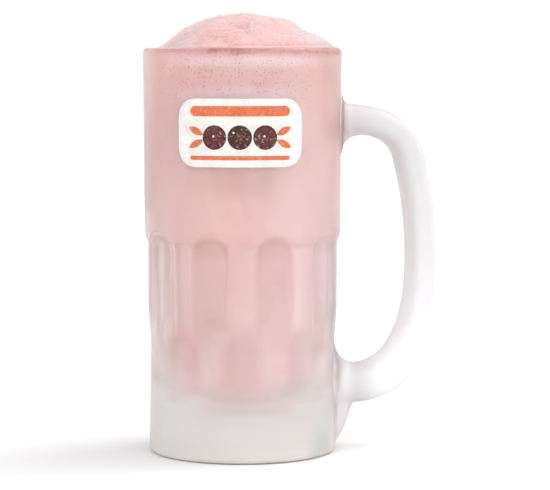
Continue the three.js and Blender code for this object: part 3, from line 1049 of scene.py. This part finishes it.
def glass_tint(tree, at):
    """Colour of the glass and its frost: the foot's and the handle's, the rim line and burst
    bubbles, and painted shade and light in patches on the wall.
    """
    tint = mix_node(tree, at.low, (251, 250, 250), foot_tint(tree, at))
    # Painted shade low down on both sides
    low_side_shade = patch_node(
        tree,
        at,
        [(-37, 1), (-32, 0), (24, 0), (29, 1), (35, 1), (38, 0.2)],
        (28, 36),
        (46, 56),
    )
    # Painted shade line along the left panel's shoulder
    outline = times_node(tree, belt_node(tree, at.sunk, (0, 0.05), (0.15, 0.3)), at.left)
    # Painted shade at the left edge of the panels
    edge = patch_node(tree, at, [(-42, 1), (-40, 0.8), (-38.5, 0)], (56, 64), (90, 96))
    # Painted shade low on the left flank
    flank_shade = patch_node(tree, at, [(-41, 0), (-39.5, 1), (-37, 1), (-34.5, 0)], (28, 34), (44, 52))
    low_shade = field_node(
        tree,
        at,
        [(33.5, 0), (36.5, 1)],
        [(44, 0), (50, 1), (65, 1), (69, 0.6), (93, 0.8), (99, 0.3), (101, 0)],
    )
    high_shade = field_node(tree, at, [(26, 0), (31, 1)], [(133, 0), (142, 1)])
    # Painted shade on both sides where the pink ends
    collar_shade = patch_node(
        tree,
        at,
        [(-39, 0.3), (-34, 1), (-24, 0), (8, 0), (16, 1), (29, 1), (34, 0)],
        (24, 26),
        (30, 33),
    )
    # Painted shade on the left ridge
    ridge = patch_node(
        tree,
        at,
        [(-36, 0), (-34, 1), (-32, 0.4), (-29, 0.4), (-27, 0.8), (-24, 0)],
        (50, 60),
        (92, 97),
    )
    glow = patch_node(tree, at, [(-26, 0), (-14, 1), (8, 1), (20, 0)], (19, 23), (26, 31))
    # Painted shadow below the badge
    badge_shadow = patch_node(tree, at, [(-22, 0), (-12, 1), (2, 1), (12, 0)], (111, 119), (125, 130))
    warmth = patch_node(
        tree,
        at,
        [(-38, 0), (-34, 1), (-27, 1), (-20, 0), (2, 0), (8, 0.8), (18, 0.8), (23, 0)],
        (36, 41),
        (56, 62),
    )
    # Painted shade at the left edge of the band
    left_edge_shade = field_node(
        tree,
        at,
        [(-43, 1), (-41.5, 0.7), (-40, 0)],
        [(104, 0), (109, 1), (140, 0.8), (158, 0)],
    )
    # Painted shade on the right of the lower band
    right_band_shade = patch_node(tree, at, [(18, 0), (26, 1), (33, 1), (36, 0.3)], (98, 101), (112, 130))
    # Painted shade and light in patches, then the rim line and the burst bubbles
    for share, colour in [
        (low_side_shade, (242, 226, 225)),
        (outline, (238, 226, 224)),
        (edge, (236, 232, 232)),
        (flank_shade, (240, 244, 244)),
        (collar_shade, (242, 238, 238)),
        (ridge, (250, 246, 246)),
        (glow, (248, 238, 238)),
        (badge_shadow, (246, 241, 240)),
        # painted light where the pink ends
        (at.low_painted_light, (255, 237, 237)),
        (warmth, (255, 244, 244)),
        (low_shade, (222, 220, 218)),
        (high_shade, (238, 236, 235)),
        (left_edge_shade, (240, 243, 243)),
        (right_band_shade, (246, 250, 251)),
        (rim_line_node(tree, at), (226, 188, 174)),
        (specks_node(tree, at), (202, 186, 188)),
    ]:
        tint = mix_node(tree, share, tint, colour, "MULTIPLY")
    tint = mix_node(tree, at.aside, tint, handle_tint(tree, at))
    # Painted light in the fillet by the lower root, against its shade
    nook_light = math_node(tree, "SUBTRACT", belt_node(tree, at.beyond, (0, 1), (4, 9)), at.upper)
    tint = mix_node(tree, nook_light, tint, (240, 237, 239))
    # Painted shade round the handle's upper root, strongest on its sides
    facing = span_node(tree, math_node(tree, "ABSOLUTE", at.y), (6, 10), (0.1, 1))
    root_shade = times_node(tree, belt_node(tree, at.radius, (43.8, 44.1), (44.6, 45.2)), at.upper, facing)
    # Painted shade at the tops of the panels
    arc_shade = span_node(tree, at.sunk, (0.3, 1.2), (0, 1))
    arc_shade = times_node(tree, arc_shade, belt_node(tree, at.height, (86, 91), (95, 98)))
    tint = mix_node(tree, root_shade, tint, (196, 180, 178), "MULTIPLY")
    return mix_node(tree, arc_shade, tint, (249, 246, 245), "MULTIPLY")


def frosted_glass():
    """Clear glass under frost, thick on the base and the handle and thin elsewhere."""
    material, tree, shader = new_material("frosted_glass", IOR=1.5)
    at = glass_places(tree)
    clear = range_node(tree, frost_cover(tree, at), (0, 1), (CLEAREST, HAZIEST))
    feed(tree, clear, shader.inputs["Transmission Weight"])
    feed(tree, glass_tint(tree, at), shader.inputs["Base Color"])
    thin_rough = range_node(tree, at.frost, (0.3, 0.7), FROST_ROUGHNESS)
    thick_rough = range_node(tree, at.thick, (0, 1), (0, THICK_ROUGHNESS))
    feed(tree, sum_node(tree, thin_rough, thick_rough), shader.inputs["Roughness"])
    return material


def milkshake_finish():
    """Pink froth: mottled, paler low down with painted light in its lower left corner, grainy on top
    with painted shade in its hollows, and with a painted band of light and a darker band under the
    rim.
    """
    material, tree, shader = new_material(
        "berry_milkshake",
        Roughness=0.6,
        Sheen_Weight=0.45,
        Sheen_Tint=srgb(214, 242, 245),
    )
    place = place_node(tree)
    x, _, height = parts_node(tree, place)
    at = SimpleNamespace(x=x, height=height)
    mottle = noise_node(tree, place, 7.0, 4.0)
    colour = ramp_node(tree, mottle, [(0.3, (246, 190, 187)), (0.7, (251, 201, 198))])
    clouds = range_node(tree, noise_node(tree, place, 24.0, 3.0), (0.4, 0.62), (0, 0.55))
    colour = mix_node(tree, clouds, colour, (236, 174, 170))
    lower = span_node(tree, height, (72, 50), (0, 0.5))
    colour = mix_node(tree, lower, colour, (255, 206, 204))
    # Painted light in the drink's lower left corner
    corner = patch_node(tree, at, [(-26, 1), (-12, 0)], (26, 30), (42, 52))
    colour = mix_node(tree, corner, colour, (255, 214, 212))
    deepest = times_node(
        tree,
        span_node(tree, height, (40, 26), (0, 0.6)),
        profile_node(tree, x, [(-20, 0.2), (-8, 1)]),
    )
    colour = mix_node(tree, deepest, colour, (246, 170, 168))
    grain = times_node(tree, noise_node(tree, place, 1.0, 4.0), 1.6)
    # Froth darker in its hollows as painted shade, mixed with random grain
    hollow_shade_and_grain = sum_node(tree, times_node(tree, relief_node(tree), 0.4), grain)
    foam = ramp_node(
        tree,
        range_node(tree, hollow_shade_and_grain, (0, 1.6), (0, 1)),
        [(0.2, (180, 132, 130)), (0.45, (196, 151, 149)), (0.8, (210, 174, 172))],
    )
    folds = noise_node(tree, place, 7.0, 3.0, 1.5)
    foam = mix_node(tree, range_node(tree, folds, (0.42, 0.58), (0, 0.7)), foam, (212, 159, 156))
    radius = radius_node(tree, place)
    inside = times_node(
        tree,
        span_node(tree, radius, (BORE_RADIUS, BORE_RADIUS - 0.5), (0, 1)),
        span_node(tree, height, (172, 173), (0, 1)),
    )
    above = span_node(tree, height, (177.6, 178.8), (0, 1))
    above = math_node(tree, "MAXIMUM", above, inside)
    colour = mix_node(tree, above, colour, foam)
    ragged = range_node(tree, folds, (0.3, 0.7), (-3 * MM, 3 * MM))
    ledge = times_node(
        tree,
        span_node(tree, sum_node(tree, radius, ragged), (23, 28), (0, 1), "SMOOTHSTEP"),
        profile_node(tree, x, [(-26, 0.3), (-18, 0), (17, 0), (26, 0.7), (30, 0.85)]),
        above,
    )
    colour = mix_node(tree, ledge, colour, (188, 167, 168))
    lip = times_node(tree, profile_node(tree, radius, [(36.5, 0), (39.5, 1)]), above)
    colour = mix_node(tree, lip, colour, (240, 230, 229), "MULTIPLY")
    # Painted light: a pale band under the rim
    light = patch_node(
        tree,
        at,
        [(-36, 0), (-24, 0.6), (-6, 0.8), (10, 0.75), (28, 0.1)],
        (168.5, 171.8),
        (173.4, 174.8),
    )
    colour = mix_node(tree, light, colour, (255, 232, 231))
    dark = patch_node(
        tree,
        at,
        [(-39, 0.2), (-33, 0.7), (-27, 0.25), (-22, 0.3), (-19, 1)],
        (175, 175.6),
        (177.4, 178),
    )
    colour = mix_node(tree, dark, colour, (244, 222, 216), "MULTIPLY")
    feed(tree, colour, shader.inputs["Base Color"])
    bump_node(tree, noise_node(tree, place, 0.6, 3.0), 0.12, shader)
    return material


def ink(name, colour):
    """Printed ink, a little uneven and worn through in flecks."""
    material, tree, shader = new_material(name, Roughness=0.6, Specular_IOR_Level=0.25)
    place = place_node(tree)
    shade = tuple(INK_SHADE * channel for channel in colour)
    body = ramp_node(tree, noise_node(tree, place, 6.0, 3.0), [(0.3, shade), (0.65, colour)])
    wear = range_node(tree, noise_node(tree, place, 1.0, 5.0), (0.56, 0.7), (0, 0.4))
    feed(tree, mix_node(tree, wear, body, WORN_INK), shader.inputs["Base Color"])
    return material


def dress(piece, material, node=None):
    """Gives a piece its finish and its place in the frame."""
    piece.data.materials.clear()
    piece.data.materials.append(material)
    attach(piece, "root")
    if node:
        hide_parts(node)


# Studio

def add_camera():
    """The camera, level with the rim and a little to the left of the front."""
    data = bpy.data.cameras.new("camera")
    data.sensor_width = SENSOR_WIDTH
    data.lens = FOCAL_PIXELS * SENSOR_WIDTH / PICTURE_WIDTH
    towards = Vector((math.sin(CAMERA_AZIMUTH), -math.cos(CAMERA_AZIMUTH), 0))
    right = Vector((math.cos(CAMERA_AZIMUTH), math.sin(CAMERA_AZIMUTH), 0))
    place = towards * CAMERA_DISTANCE + Vector((0, 0, CAMERA_HEIGHT))
    aim_z = CAMERA_HEIGHT - CAMERA_DISTANCE * math.tan(CAMERA_PITCH)
    aim = right * CAMERA_ASIDE + Vector((0, 0, aim_z))
    camera = bpy.data.objects.new("camera", data)
    camera.location = place * MM
    camera.rotation_euler = (aim - place).to_track_quat("-Z", "Y").to_euler()
    bpy.context.scene.collection.objects.link(camera)
    bpy.context.scene.camera = camera


def pointing(azimuth, elevation):
    """The direction from the mug at an azimuth round from its front and an elevation, in degrees."""
    turn, rise = math.radians(azimuth), math.radians(elevation)
    return math.sin(turn) * math.cos(rise), -math.cos(turn) * math.cos(rise), math.sin(rise)


def add_world():
    """A white backdrop, and a pale room with broad soft lights in it."""
    world = bpy.data.worlds.new("studio")
    world.use_nodes = True
    tree = world.node_tree
    direction = tree.nodes.new("ShaderNodeTexCoord").outputs["Generated"]
    strength = ROOM_STRENGTH
    for azimuth, elevation, half_width, extra in SOFT_LIGHTS:
        facing = tree.nodes.new("ShaderNodeVectorMath")
        facing.operation = "DOT_PRODUCT"
        facing.inputs[1].default_value = pointing(azimuth, elevation)
        tree.links.new(direction, facing.inputs[0])
        edge = math.cos(math.radians(half_width))
        glow = range_node(tree, facing.outputs["Value"], (edge, 1), (0, extra), "SMOOTHSTEP")
        strength = math_node(tree, "ADD", strength, glow)
    shown = tree.nodes.new("ShaderNodeLightPath").outputs["Is Camera Ray"]
    strength = blend_node(tree, shown, strength, BACKDROP_STRENGTH)
    tree.links.new(strength, tree.nodes["Background"].inputs["Strength"])
    tree.nodes["Background"].inputs["Color"].default_value = (1, 1, 1, 1)
    bpy.context.scene.world = world


def add_floor():
    """A wide pale floor just under the mug."""
    half = FLOOR_SIZE / 2
    corners = [(x * half, y * half, FLOOR_Z) for x, y in [(-1, -1), (1, -1), (1, 1), (-1, 1)]]
    mesh = bpy.data.meshes.new("floor")
    mesh.from_pydata([Vector(corner) * MM for corner in corners], [], [(0, 1, 2, 3)])
    floor = add_object("floor", mesh)
    material, _, _ = new_material(
        "floor",
        Base_Color=(FLOOR_SHADE, FLOOR_SHADE, FLOOR_SHADE, 1),
        Roughness=0.9,
        Specular_IOR_Level=0.0,
    )
    mesh.materials.append(material)


add_camera()
add_world()
add_floor()
scene = bpy.context.scene
scene.view_settings.view_transform = "Standard"

dress(make_mug(), frosted_glass(), "mug")
dress(make_milkshake(), milkshake_finish(), "milkshake")
make_badge()
